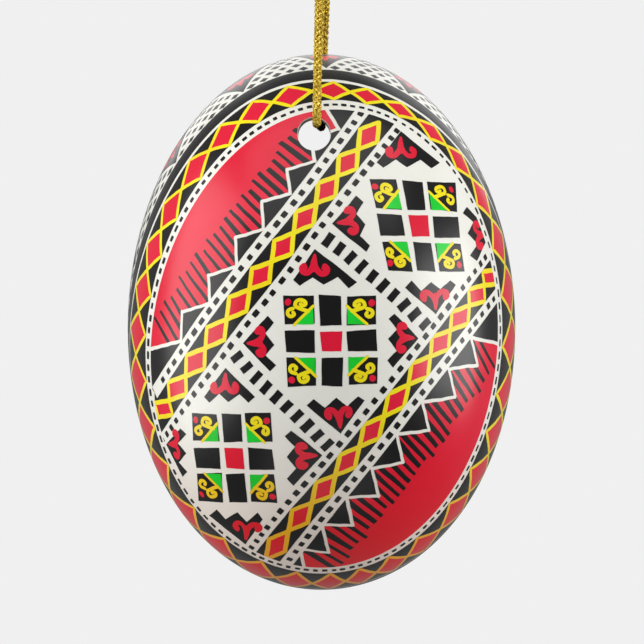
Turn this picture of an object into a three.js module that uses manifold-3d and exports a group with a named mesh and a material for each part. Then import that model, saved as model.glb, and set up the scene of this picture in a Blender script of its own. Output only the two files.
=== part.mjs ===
// A blown eggshell ornament on a loop of cord. The cord is threaded through two holes that are drilled
// in one line through the upper part of the shell, and its ends are tied in a knot above the egg.
// Millimetres, +Z up, the egg's decorated front faces -Y. The origin is the hanging point, under the knot.
import * as THREE from "three";
import { mergeVertices } from "three/addons/utils/BufferGeometryUtils.js";
import Module from "manifold-3d";

// The eggshell.
const eggHeight = 65.0;
const eggWidth = 47.0;
const lowerFullness = 0.022; // share of the width that the lower half gains and the upper half loses
const endFullness = 0.025; // share of the width that both ends gain over a plain ellipse
const shellWall = 0.4;
const stepsAround = 48;
const stepsAlong = 26;

// The two holes, drilled in one line from front to back.
const holeBore = 4.0;
const holeRise = 22.8; // from the middle of the egg's height up to the drilled line
const holeSide = -0.9; // from the egg's axis to the drilled line, to the left
const holeSides = 32;

// The cord and its knot.
const cordThickness = 1.0;
const cordSides = 8;
const cordSteps = 80;
const bendRadius = 2.0; // of the cord's middle line, round the rim of a hole
const bendTurns = [30, 60, 90]; // degrees turned at each point of the bend
const runShares = [0.35, 0.7, 1]; // points of the level run, from the middle of the hollow to the rim
const strandShares = [0.08, 0.3, 0.55, 0.8, 1]; // points of the straight strand, from the bend to the knot
const frontLean = 17; // degrees from a hole's top round to where the cord lies in it
const rearLean = 45;
const hangDrop = 62.0; // from the hanging point down to the middle of the egg's height
const hangSide = 0.8; // the hanging point stands this far right of the egg's axis
const knotWidth = 3.4;
const knotHeight = 3.6;
const knotSides = 16;
const knotBands = 10;
const tailLength = 7.0;
const tailLean = 24; // degrees that the end of each tail leans from upright
const tailShares = [0, 0.35, 0.7, 1]; // points of a tail, from the knot's middle to its end
const tailSteps = 6;
const fitGap = 0.3; // between the cord and the holes, and between the cord and the knot

const shellMaterial = new THREE.MeshStandardMaterial({ color: 0xece9de, roughness: 0.2, metalness: 0 });
const cordMaterial = new THREE.MeshStandardMaterial({ color: 0xb58a1e, roughness: 0.4, metalness: 0.8 });
const knotMaterial = new THREE.MeshStandardMaterial({ color: 0xa87f1c, roughness: 0.4, metalness: 0.8 });

const wasm = await Module();
wasm.setup();

function solidOf(geometry) {
  const bare = geometry.clone();
  bare.deleteAttribute("normal");
  bare.deleteAttribute("uv");
  const merged = mergeVertices(bare, 1e-4);
  return new wasm.Manifold(
    new wasm.Mesh({
      numProp: 3,
      vertProperties: new Float32Array(merged.attributes.position.array),
      triVerts: new Uint32Array(merged.index.array),
    }),
  );
}

function geometryOf(solid) {
  const mesh = solid.getMesh();
  const geometry = new THREE.BufferGeometry();
  geometry.setAttribute("position", new THREE.BufferAttribute(mesh.vertProperties, 3));
  geometry.setIndex(new THREE.BufferAttribute(mesh.triVerts, 1));
  geometry.computeVertexNormals();
  return geometry;
}

// The egg's half width at a share t of its half height, from -1 at the foot to 1 at the crown.
function outline(t, halfWidth) {
  return halfWidth * Math.sqrt(1 - t * t) * (1 - lowerFullness * t + endFullness * t * t);
}

// An egg turned about +Z round the origin, smaller all over by inset.
function turnedEgg(inset) {
  const halfWidth = eggWidth / 2 - inset;
  const halfHeight = eggHeight / 2 - inset;
  const profile = [];
  for (let i = 0; i <= stepsAlong; i++) {
    const t = -Math.cos((Math.PI * i) / stepsAlong);
    const onAxis = i === 0 || i === stepsAlong;
    profile.push(new THREE.Vector2(onAxis ? 0 : outline(t, halfWidth), halfHeight * t));
  }
  return new THREE.LatheGeometry(profile, stepsAround).rotateX(Math.PI / 2);
}

// How far in front of the egg's middle plane its outside lies, at a height and a distance from its axis.
function shellDepth(side, height) {
  const halfWidth = outline(height / (eggHeight / 2), eggWidth / 2);
  return Math.sqrt(halfWidth * halfWidth - side * side);
}

function makeEggshell() {
  const drill = new THREE.CylinderGeometry(holeBore / 2, holeBore / 2, 2 * eggWidth, holeSides);
  drill.translate(holeSide, 0, holeRise);
  const shell = solidOf(turnedEgg(0)).subtract(solidOf(turnedEgg(shellWall))).subtract(solidOf(drill));
  return new THREE.Mesh(geometryOf(shell), shellMaterial);
}

function roundSection(thickness) {
  const section = new THREE.Shape();
  for (let i = 0; i < cordSides; i++) {
    const angle = (2 * Math.PI * i) / cordSides;
    const x = (thickness / 2) * Math.cos(angle);
    const y = (thickness / 2) * Math.sin(angle);
    if (i === 0) section.moveTo(x, y);
    else section.lineTo(x, y);
  }
  section.closePath();
  return section;
}

function tubeAlong(points, thickness, steps) {
  const extrudePath = new THREE.CatmullRomCurve3(points);
  return new THREE.ExtrudeGeometry(roundSection(thickness), { steps, extrudePath });
}

// One half of the cord, in the egg's own frame: from the middle of the hollow, out of a hole, round its
// rim, and straight up to the knot. facing is -1 at the front and 1 at the back.
function strandPoints(facing, lean, sideAtKnot) {
  const play = holeBore / 2 - cordThickness / 2 - fitGap;
  const side = holeSide + play * Math.sin(THREE.MathUtils.degToRad(lean));
  const height = holeRise + play * Math.cos(THREE.MathUtils.degToRad(lean));
  const rim = shellDepth(side, holeRise + holeBore / 2);
  const points = runShares.map((share) => new THREE.Vector3(side, facing * share * rim, height));
  for (const turn of bendTurns) {
    const angle = THREE.MathUtils.degToRad(turn);
    const out = rim + bendRadius * Math.sin(angle);
    const up = height + bendRadius * (1 - Math.cos(angle));
    points.push(new THREE.Vector3(side, facing * out, up));
  }
  const bendEnd = points.at(-1);
  const top = new THREE.Vector3(hangSide + sideAtKnot, 0, hangDrop);
  for (const share of strandShares) points.push(bendEnd.clone().lerp(top, share));
  return points;
}

function makeCord() {
  const apart = (cordThickness + fitGap) / 2;
  const front = strandPoints(-1, frontLean, -apart);
  const rear = strandPoints(1, rearLean, apart);
  return new THREE.Mesh(tubeAlong([...front.reverse(), ...rear], cordThickness, cordSteps), cordMaterial);
}

function makeKnot() {
  const middle = fitGap + knotHeight / 2;
  const profile = [];
  for (let i = 0; i <= knotBands; i++) {
    const angle = (Math.PI * i) / knotBands;
    const onAxis = i === 0 || i === knotBands;
    const across = onAxis ? 0 : (knotWidth / 2) * Math.sin(angle);
    profile.push(new THREE.Vector2(across, -(knotHeight / 2) * Math.cos(angle)));
  }
  const lump = new THREE.LatheGeometry(profile, knotSides).rotateX(Math.PI / 2);
  let knot = solidOf(lump.translate(0, 0, middle));
  const lean = THREE.MathUtils.degToRad(tailLean);
  const reach = knotHeight / 2 + tailLength;
  for (const way of [-1, 1]) {
    const points = tailShares.map((share) => {
      const across = cordThickness / 2 + share * share * reach * Math.sin(lean);
      return new THREE.Vector3(way * across, 0, middle + share * reach * Math.cos(lean));
    });
    knot = knot.add(solidOf(tubeAlong(points, cordThickness, tailSteps)));
  }
  return new THREE.Mesh(geometryOf(knot), knotMaterial);
}

const ornament = new THREE.Group();

const hungEgg = new THREE.Group();
hungEgg.position.set(-hangSide, 0, -hangDrop);
ornament.add(hungEgg);

const eggshell = makeEggshell();
eggshell.name = "eggshell";
hungEgg.add(eggshell);

const cord = makeCord();
cord.name = "cord";
hungEgg.add(cord);

const knot = makeKnot();
knot.name = "knot";
ornament.add(knot);

export default ornament;
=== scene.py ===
import math
import random

import bpy
import numpy as np
from mathutils.geometry import delaunay_2d_cdt
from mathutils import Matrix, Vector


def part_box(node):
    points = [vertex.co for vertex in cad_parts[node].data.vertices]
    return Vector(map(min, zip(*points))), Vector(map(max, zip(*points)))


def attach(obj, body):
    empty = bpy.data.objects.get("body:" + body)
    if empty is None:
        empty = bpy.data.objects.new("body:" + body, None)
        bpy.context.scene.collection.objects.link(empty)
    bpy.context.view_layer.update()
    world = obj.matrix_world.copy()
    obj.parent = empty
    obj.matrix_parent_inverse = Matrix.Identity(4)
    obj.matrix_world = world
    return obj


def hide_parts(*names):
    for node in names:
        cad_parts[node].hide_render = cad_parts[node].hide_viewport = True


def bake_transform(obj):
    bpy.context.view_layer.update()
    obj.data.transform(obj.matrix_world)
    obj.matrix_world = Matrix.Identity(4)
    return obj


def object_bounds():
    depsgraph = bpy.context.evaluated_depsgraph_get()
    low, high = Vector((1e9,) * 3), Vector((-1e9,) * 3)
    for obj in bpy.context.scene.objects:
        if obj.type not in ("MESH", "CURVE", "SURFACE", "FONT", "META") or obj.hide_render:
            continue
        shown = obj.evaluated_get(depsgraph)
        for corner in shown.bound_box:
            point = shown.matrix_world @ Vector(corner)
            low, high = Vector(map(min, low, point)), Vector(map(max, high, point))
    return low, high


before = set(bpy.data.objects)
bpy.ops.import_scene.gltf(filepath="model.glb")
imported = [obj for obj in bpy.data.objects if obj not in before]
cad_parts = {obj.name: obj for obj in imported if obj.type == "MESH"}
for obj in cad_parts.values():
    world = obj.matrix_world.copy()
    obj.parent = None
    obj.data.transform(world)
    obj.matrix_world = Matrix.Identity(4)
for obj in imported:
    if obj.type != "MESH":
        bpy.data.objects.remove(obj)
cad_low, cad_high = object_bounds()

# A blown hen's egg, drawn with wax, dyed, varnished and hung on a loop of gold cord.
# Metres for everything in the scene. The egg's drawing is worked out in millimetres, in the egg's own
# frame: its middle is the origin, +Z is up, and the decorated front faces -Y.
MM = 0.001

shell_low, shell_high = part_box("eggshell")
EGG_MIDDLE = (np.array(shell_low) + np.array(shell_high)) / 2
HALF_HEIGHT = (shell_high.z - shell_low.z) / 2 / MM
HALF_WIDTH = (shell_high.x - shell_low.x) / 2 / MM
LOWER_FULLNESS = 0.022        # share of the width that the lower half gains and the upper half loses
END_FULLNESS = 0.025          # share of the width that both ends gain over a plain ellipse
SHELL_WALL = 0.4

# The two holes, drilled in one line from front to back, and the cord that runs through them.
HOLE_BORE = 4.0
HOLE_RISE = 22.8
HOLE_SIDE = -0.9
CORD_THICKNESS = 1.0
BEND_RADIUS = 2.0
BEND_TURNS = (30, 60, 90)
RUN_SHARES = (0.35, 0.7, 1.0)
STRAND_SHARES = (0.08, 0.3, 0.55, 0.8, 1.0)
FRONT_LEAN, REAR_LEAN = 17, 45
HANG_DROP = -EGG_MIDDLE[2] / MM
HANG_SIDE = -EGG_MIDDLE[0] / MM
FIT_GAP = 0.3


# ------------------------------------------------------------------ camera

def make_camera():
    """A long lens, square to the egg's decorated front, a little above the egg's middle."""
    data = bpy.data.cameras.new("camera")
    distance = 3.6
    rise = 0.012
    frame_width = 0.0782
    data.sensor_width = 36.0
    data.lens = data.sensor_width * distance / frame_width
    data.clip_end = 20.0
    data.dof.use_dof = False
    camera = bpy.data.objects.new("camera", data)
    bpy.context.scene.collection.objects.link(camera)
    camera.location = (-0.00074, -distance, EGG_MIDDLE[2] + rise)
    camera.rotation_euler = (math.radians(90) - math.atan(rise / distance), 0, 0)
    bpy.context.scene.camera = camera


make_camera()


# ------------------------------------------------------------------ the egg's form

def outline(height):
    """Half width of the egg at a height above its middle."""
    share = np.clip(np.asarray(height, float) / HALF_HEIGHT, -1, 1)
    fullness = 1 - LOWER_FULLNESS * share + END_FULLNESS * share * share
    return HALF_WIDTH * np.sqrt(1 - share * share) * fullness


def outward(points):
    """Unit normals of the egg at points on it."""
    step = 1e-3
    slope = (outline(points[:, 2] + step) - outline(points[:, 2] - step)) / (2 * step)
    normal = np.stack([points[:, 0], points[:, 1], -outline(points[:, 2]) * slope], 1)
    poles = np.hypot(points[:, 0], points[:, 1]) < 1e-3
    normal[poles] = [0, 0, 1]
    normal[poles, 2] = np.sign(points[poles, 2])
    return normal / np.linalg.norm(normal, axis=1)[:, None]


def placed(points):
    """Millimetres in the egg's own frame to metres in the scene."""
    return np.asarray(points, float) * MM + EGG_MIDDLE


# ------------------------------------------------------------------ mesh helpers

def new_piece(name, vertices, faces, normals=None):
    """A mesh object with smooth faces. normals are one for each vertex."""
    mesh = bpy.data.meshes.new(name)
    vertices = np.asarray(vertices, np.float32)
    faces = np.asarray(faces, np.int32)
    mesh.vertices.add(len(vertices))
    mesh.vertices.foreach_set("co", vertices.ravel())
    sides = faces.shape[1]
    mesh.loops.add(faces.size)
    mesh.loops.foreach_set("vertex_index", faces.ravel())
    mesh.polygons.add(len(faces))
    mesh.polygons.foreach_set("loop_start", np.arange(len(faces), dtype=np.int32) * sides)
    mesh.polygons.foreach_set("use_smooth", np.ones(len(faces), bool))
    mesh.update(calc_edges=True)
    mesh.validate()
    if normals is not None:
        mesh.normals_split_custom_set_from_vertices([tuple(n) for n in np.asarray(normals, float)])
    piece = bpy.data.objects.new(name, mesh)
    bpy.context.scene.collection.objects.link(piece)
    return piece


def smooth(points, per_span=6):
    """A Catmull-Rom line through the points."""
    points = np.asarray(points, float)
    padded = np.vstack([2 * points[0] - points[1], points, 2 * points[-1] - points[-2]])
    shares = (np.arange(per_span) / per_span)[:, None]
    spans = []
    for before, start, end, after in zip(padded, padded[1:], padded[2:], padded[3:]):
        spans.append(0.5 * (2 * start + (end - before) * shares
                            + (2 * before - 5 * start + 4 * end - after) * shares ** 2
                            + (3 * start - before - 3 * end + after) * shares ** 3))
    spans.append(points[-1:])
    return np.vstack(spans)


def length_of(line):
    return float(np.linalg.norm(np.diff(line, axis=0), axis=1).sum())


def along_line(line, distances):
    """Points at distances along a line, and the line's directions there."""
    reach = np.concatenate([[0], np.cumsum(np.linalg.norm(np.diff(line, axis=0), axis=1))])
    distances = np.asarray(distances, float)
    step = 0.002 * reach[-1]

    def at(where):
        return np.stack([np.interp(where, reach, column) for column in line.T], 1)

    ways = at(distances + step) - at(distances - step)
    return at(distances), ways / np.linalg.norm(ways, axis=1)[:, None]


# ------------------------------------------------------------------ braided cord

def carried_frames(line, ways):
    """Two directions across the line at each point, carried along it without twisting."""
    first = np.cross(ways[0], [0.31, 0.77, 0.2])
    first /= np.linalg.norm(first)
    across = [first]
    for way in ways[1:]:
        side = across[-1] - way * across[-1].dot(way)
        across.append(side / np.linalg.norm(side))
    across = np.array(across)
    return across, np.cross(ways, across)


def tube(line, ways, widths, sides, first_vertex):
    """Vertices, faces and (around, along) marks of a round closed tube."""
    across, over = carried_frames(line, ways)
    turns = np.linspace(0, 2 * math.pi, sides, endpoint=False)
    ring = np.cos(turns)[None, :, None] * across[:, None, :] + np.sin(turns)[None, :, None] * over[:, None, :]
    vertices = line[:, None, :] + ring * (np.asarray(widths)[:, None, None] / 2)
    count = len(line)
    index = first_vertex + np.arange(count * sides).reshape(count, sides)
    after = np.roll(index, -1, axis=1)
    quads = np.stack([index[:-1], after[:-1], after[1:], index[1:]], -1).reshape(-1, 4)
    triangles = np.vstack([quads[:, [0, 1, 2]], quads[:, [0, 2, 3]]])
    start, end = first_vertex + count * sides, first_vertex + count * sides + 1
    caps = [np.stack([np.full(sides, start), after[0], index[0]], 1),
            np.stack([np.full(sides, end), index[-1], after[-1]], 1)]
    vertices = np.vstack([vertices.reshape(-1, 3), line[:1], line[-1:]])
    reach = np.concatenate([[0], np.cumsum(np.linalg.norm(np.diff(line, axis=0), axis=1))])
    marks = np.stack([np.tile(turns / (2 * math.pi), count), np.repeat(reach, sides)], 1)
    marks = np.vstack([marks, [[0, reach[0]], [0, reach[-1]]]])
    return vertices, np.vstack([triangles, *caps]), marks


YARNS_EACH_WAY = 4
BRAID_PITCH = 3.1             # one full turn of a yarn
BRAID_STEP = 0.11
YARN_SIDES = 6


def braid(centre, thickness):
    """Yarns that wind both ways round a core and pass over and under each other. Points in millimetres."""
    total = length_of(centre)
    count = max(8, int(total / BRAID_STEP))
    distances = np.linspace(0, total, count)
    line, ways = along_line(centre, distances)
    across, over = carried_frames(line, ways)
    yarn_width = 0.36 * thickness
    ride = 0.5 * (thickness - yarn_width) + 0.01 * thickness
    lift = 0.07 * thickness
    parts, faces, marks = [], [], []
    made = 0
    for way in (1, -1):
        for yarn in range(YARNS_EACH_WAY):
            turn = way * 2 * math.pi * distances / BRAID_PITCH + 2 * math.pi * yarn / YARNS_EACH_WAY
            reach = ride + way * lift * np.cos(YARNS_EACH_WAY * 2 * math.pi * distances / BRAID_PITCH)
            aside = (reach * np.cos(turn))[:, None] * across
            path = line + aside + (reach * np.sin(turn))[:, None] * over
            path_ways = np.gradient(path, axis=0)
            path_ways /= np.linalg.norm(path_ways, axis=1)[:, None]
            vertices, triangles, mark = tube(path, path_ways, np.full(count, yarn_width), YARN_SIDES, made)
            parts.append(vertices)
            faces.append(triangles)
            marks.append(mark)
            made += len(vertices)
    core_line = line[::3]
    core_ways = ways[::3]
    vertices, triangles, mark = tube(core_line, core_ways, np.full(len(core_line), 0.5 * thickness), 8, made)
    parts.append(vertices)
    core_faces = len(triangles)
    faces.append(triangles)
    marks.append(mark)
    return np.vstack(parts), np.vstack(faces), np.vstack(marks), core_faces


def joined(bundles):
    """Several (vertices, faces, marks, core faces) bundles as one, with a list of which faces are core."""
    vertices, faces, marks, core = [], [], [], []
    made = 0
    for some_vertices, some_faces, some_marks, core_faces in bundles:
        vertices.append(some_vertices)
        faces.append(some_faces + made)
        marks.append(some_marks)
        is_core = np.zeros(len(some_faces), bool)
        if core_faces:
            is_core[-core_faces:] = True
        core.append(is_core)
        made += len(some_vertices)
    return np.vstack(vertices), np.vstack(faces), np.vstack(marks), np.concatenate(core)


def cord_piece(name, bundle, to_scene):
    vertices, faces, marks, core = bundle
    piece = new_piece(name, to_scene(vertices), faces)
    layer = piece.data.uv_layers.new(name="yarn")
    corners = np.zeros(len(piece.data.loops), np.int32)
    piece.data.loops.foreach_get("vertex_index", corners)
    layer.data.foreach_set("uv", marks[corners].astype(np.float32).ravel())
    piece.data.materials.append(gold_yarn())
    # The core's material is dark brown, painted shadow in the gaps between the yarns.
    piece.data.materials.append(shadow_dark_core())
    piece.data.polygons.foreach_set("material_index", core.astype(np.int32))
    return piece


def strand_points(facing, lean, side_at_knot):
    """The cord's route, millimetres in the egg's frame: out of a hole, round its rim and up to the knot."""
    play = HOLE_BORE / 2 - CORD_THICKNESS / 2 - FIT_GAP
    side = HOLE_SIDE + play * math.sin(math.radians(lean))
    height = HOLE_RISE + play * math.cos(math.radians(lean))
    rim = math.sqrt(float(outline(HOLE_RISE + HOLE_BORE / 2)) ** 2 - side ** 2)
    points = [(side, facing * share * rim, height) for share in RUN_SHARES]
    for turn in BEND_TURNS:
        angle = math.radians(turn)
        out = rim + BEND_RADIUS * math.sin(angle)
        up = height + BEND_RADIUS * (1 - math.cos(angle))
        points.append((side, facing * out, up))
    bend_end = np.array(points[-1])
    top = np.array([HANG_SIDE + side_at_knot, 0, HANG_DROP])
    points += [tuple(bend_end + (top - bend_end) * share) for share in STRAND_SHARES]
    return points


SEAT_LIFT = 0.12              # the cord's tension pulls it up toward the rim
BEND_STAND = 0.75             # its bend stands further out than the tightest one
KNOT_RISE = 0.75              # the strands run on into the knot


def seated(points, facing):
    """The route with the cord drawn up in its hole, and standing off a little where it bends."""
    line = smooth(points, 8)
    level = line[0][2]
    near = np.clip(1 - (line[:, 2] - level) / 3.0, 0, 1)
    depth = np.abs(line[:, 1])
    bend = np.clip(1 - np.abs(line[:, 2] - level - 1.0) / 5.0, 0, 1) * depth / depth.max()
    line[:, 2] += SEAT_LIFT * near
    line[:, 1] += facing * BEND_STAND * bend
    return line


def make_strand(name, facing, lean, side_at_knot):
    points = strand_points(facing, lean, side_at_knot)
    start = (points[0][0], 0.0, points[0][2])
    line = seated([start, *points], facing)
    line = np.vstack([line, line[-1] + [0, 0, KNOT_RISE]])
    line = smooth(line[::3] if (len(line) - 1) % 3 == 0 else np.vstack([line[::3], line[-1:]]), 4)
    bundle = joined([braid(line, CORD_THICKNESS)])
    piece = cord_piece(name, bundle, placed)
    hole_mouth = placed([points[2]])[0]
    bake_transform(piece)
    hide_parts("cord")
    path = placed(line)
    return piece


# ------------------------------------------------------------------ the knot

KNOT_TIMES = (-1.93, -1.73, -1.3, -1.0, -0.52, 0.0, 0.52, 1.0, 1.3, 1.73, 1.93)
KNOT_DEPTHS = (-1.1, 0.55, 0.85, 0.6, 0.05, 0.0, -0.05, -0.6, -0.85, -0.55, 1.1)
KNOT_MIDDLE = 2.15            # above the hanging point
KNOT_ACROSS = 0.62
KNOT_TALL = 0.62
TAIL_LENGTH = 6.6
TAIL_LEAN = 24
PAIR_APART = 0.46             # from the middle of the pair to the middle of each strand


def knot_route(which):
    """One strand of the pair through an overhand knot and out as a tail. which is -1 or 1."""
    route = []
    times = np.array(KNOT_TIMES)
    up = KNOT_MIDDLE + KNOT_TALL * (times ** 3 - 3 * times)
    side = KNOT_ACROSS * (times ** 4 - 4 * times ** 2 + 2.0)
    middle = np.stack([side, -np.array(KNOT_DEPTHS), up], 1)
    entry = np.array([[0.05, 0.2, -0.35], [0.25, 0.7, 0.35]])
    lean = math.radians(TAIL_LEAN)
    leave = middle[-1] + np.array([0.1, 0.25, 0.75])
    middle = np.vstack([entry, middle, [leave]])
    line = smooth(middle, 8)
    ways = np.gradient(line, axis=0)
    ways /= np.linalg.norm(ways, axis=1)[:, None]
    flat = np.cross(ways, [0, 1.0, 0])
    flat /= np.maximum(np.linalg.norm(flat, axis=1), 0.3)[:, None]
    route = line + which * PAIR_APART * flat
    tail_way = np.array([-which * math.sin(lean), 0.08, math.cos(lean)])
    steps = np.linspace(0.2, 1, 6)[:, None]
    tail = route[-1] + steps * TAIL_LENGTH * tail_way
    tail[:, 0] += -which * 0.5 * np.sin(steps[:, 0] * math.pi) * 0.4
    return smooth(np.vstack([route[::4], tail]), 5)


def frayed_end(line, hand):
    """Loose filaments that fan out of a cut end."""
    bundles = []
    end = line[-1]
    way = line[-1] - line[-3]
    way /= np.linalg.norm(way)
    for _ in range(14):
        spread = np.array([hand.uniform(-1, 1), hand.uniform(-1, 1), hand.uniform(-0.3, 0.3)])
        start = end - way * 0.25 + spread * 0.22
        bend = end + way * 0.45 + spread * 0.34
        tip = end + way * hand.uniform(0.7, 1.25) + spread * 0.7
        path = smooth([start, bend, tip], 3)
        ways = np.gradient(path, axis=0)
        ways /= np.linalg.norm(ways, axis=1)[:, None]
        vertices, faces, marks = tube(path, ways, np.linspace(0.11, 0.06, len(path)), 5, 0)
        bundles.append((vertices, faces, marks, 0))
    return bundles


def make_knot():
    hand = random.Random(5)
    bundles = []
    for which in (-1, 1):
        route = knot_route(which)
        bundles.append(braid(route, CORD_THICKNESS * 0.95))
        bundles += frayed_end(route, hand)
    piece = cord_piece("knot_tied", joined(bundles), lambda points: np.asarray(points) * MM)
    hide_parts("knot")
    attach(piece, "knot")
    return piece


# ------------------------------------------------------------------ the ring, and flat charts of the egg

# The drawing is laid out on a flat chart, in degrees from the middle of a ring that is drawn round the
# egg's face. The front chart's middle points a little below and to the right of the front direction.
RING_DOWN = 7.3
RING_RIGHT = 2.5


def ring_axes():
    side, down = math.radians(RING_RIGHT), math.radians(RING_DOWN)
    axis = np.array([math.sin(side), -math.cos(side) * math.cos(down), -math.sin(down)])
    axis /= np.linalg.norm(axis)
    up = np.array([0.0, 0.0, 1.0]) - axis * axis[2]
    up /= np.linalg.norm(up)
    return axis, np.cross(up, axis), up


RING_AXIS, RING_SIDE, RING_UP = ring_axes()


def on_egg(chart, facing=1):
    """Chart degrees to points on the egg. facing is 1 for the front chart and -1 for the back one."""
    chart = np.asarray(chart, float).reshape(-1, 2)
    spread = np.radians(np.hypot(chart[:, 0], chart[:, 1]))
    share = np.sin(spread) / np.maximum(spread, 1e-9)
    across = (share * np.radians(chart[:, 0]))[:, None] * RING_SIDE * facing
    along = (share * np.radians(chart[:, 1]))[:, None] * RING_UP
    unit = np.cos(spread)[:, None] * RING_AXIS * facing + across + along
    width = HALF_WIDTH * (1 - LOWER_FULLNESS * unit[:, 2] + END_FULLNESS * unit[:, 2] ** 2)
    return np.stack([width * unit[:, 0], width * unit[:, 1], HALF_HEIGHT * unit[:, 2]], 1)


def to_chart(points, facing=1):
    """Points on the egg, or close to it, to chart degrees."""
    points = np.asarray(points, float).reshape(-1, 3)
    high = np.clip(points[:, 2] / HALF_HEIGHT, -1, 1)
    width = HALF_WIDTH * (1 - LOWER_FULLNESS * high + END_FULLNESS * high ** 2)
    unit = np.stack([points[:, 0] / width, points[:, 1] / width, high], 1)
    unit /= np.linalg.norm(unit, axis=1)[:, None]
    spread = np.degrees(np.arccos(np.clip(unit @ RING_AXIS * facing, -1, 1)))
    across, along = unit @ RING_SIDE * facing, unit @ RING_UP
    reach = np.maximum(np.hypot(across, along), 1e-9)
    return np.stack([spread * across / reach, spread * along / reach], 1)


def from_front(places):
    """Places seen square from the front, millimetres right of and above the egg's middle, to the chart."""
    places = np.asarray(places, float).reshape(-1, 2)
    width = outline(places[:, 1])
    side = np.clip(places[:, 0], -0.999 * width, 0.999 * width)
    depth = -np.sqrt(np.maximum(width ** 2 - side ** 2, 0))
    return to_chart(np.stack([side, depth, places[:, 1]], 1))


def closed_curve(places, times_round):
    """A smooth curve round the ring, close to given places: (degrees round it, degrees out)."""

    def waves(theta):
        turns = np.radians(np.asarray(theta, float))[..., None] * np.arange(1, times_round + 1)
        return np.concatenate([np.ones((*turns.shape[:-1], 1)), np.cos(turns), np.sin(turns)], -1)

    around, out = np.array(places, float).T
    sizes = np.linalg.lstsq(waves(around), out, rcond=None)[0]
    return lambda theta: waves(theta) @ sizes


# The middle of the ladder round the window: degrees clockwise from the top, and degrees out.
LADDER_PLACES = ((0, 62.2), (30, 63.3), (45, 65), (60, 66.5), (70, 66.7), (80, 65.4), (90, 63.3), (100, 62.7),
                 (120, 61.5), (133, 60.1), (150, 59.1), (167, 59.6), (180, 60.9), (197, 62), (213, 63), (230, 65),
                 (247, 66.9), (255, 66.9), (270, 65.3), (280, 63.3), (297, 61.6), (313, 60.4), (330, 59.7),
                 (340, 59.7), (350, 60.5))
# From the ladder out to where the band's yellow lines cross.
CROSSING_PLACES = ((7, 5), (31, 6.2), (52, 6.8), (64, 7.7), (76, 9.3), (87, 12.5), (99, 13.6), (109, 12.2),
                   (118, 10.6), (142, 9.7), (163, 8.9), (183, 8.8), (195, 11.4), (206, 11.8), (219, 11.1),
                   (231, 12.2), (242, 12.2), (263, 10.4), (274, 8.9), (293, 7.6), (317, 6.8), (342, 6.5))
BACK_CROSSING = 6.0
LADDER_HALF = 1.75
BAND_START = 1.75
LINE_WIDE = 1.35
BLACK_WIDE = 5.3
BACK_SCALE = 0.84             # the back's window is drawn smaller, and leaves room for the nets


class Ring:
    """The places of the ring's lines on one chart: degrees out from the middle, at degrees round it."""

    ladder = staticmethod(closed_curve(LADDER_PLACES, 4))

    def __init__(self, ladder_to_crossing):
        self.ladder_to_crossing = ladder_to_crossing

    def crossing(self, theta):
        return self.ladder(theta) + self.ladder_to_crossing(theta)

    def band_end(self, theta):
        return 2 * self.crossing(theta) - self.ladder(theta) - BAND_START

    def black_start(self, theta):
        return self.band_end(theta) + LINE_WIDE

    def black_end(self, theta):
        return self.black_start(theta) + BLACK_WIDE


FRONT_RING = Ring(closed_curve(CROSSING_PLACES, 3))
BACK_RING = Ring(lambda theta: BACK_CROSSING)


def turned(theta, spread):
    """Degrees round the ring, clockwise from the top, and degrees out from its middle, to the chart."""
    theta = np.radians(np.asarray(theta, float))
    return np.stack([spread * np.sin(theta), spread * np.cos(theta)], -1)


# ------------------------------------------------------------------ drawing tools

UNDYED, BLACK, RED, YELLOW, GREEN = range(5)
WINDOW, BAND, SIDE = "window", "band", "side"


def dense(points, step, closed=False):
    """Points with others put between them, so that none is further than step from the next."""
    points = np.asarray(points, float)
    if closed:
        points = np.vstack([points, points[:1]])
    parts = []
    for start, end in zip(points[:-1], points[1:]):
        count = max(1, math.ceil(float(np.linalg.norm(end - start)) / step))
        parts.append(start + (end - start) * (np.arange(count) / count)[:, None])
    if not closed:
        parts.append(points[-1:])
    return np.vstack(parts)


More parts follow.
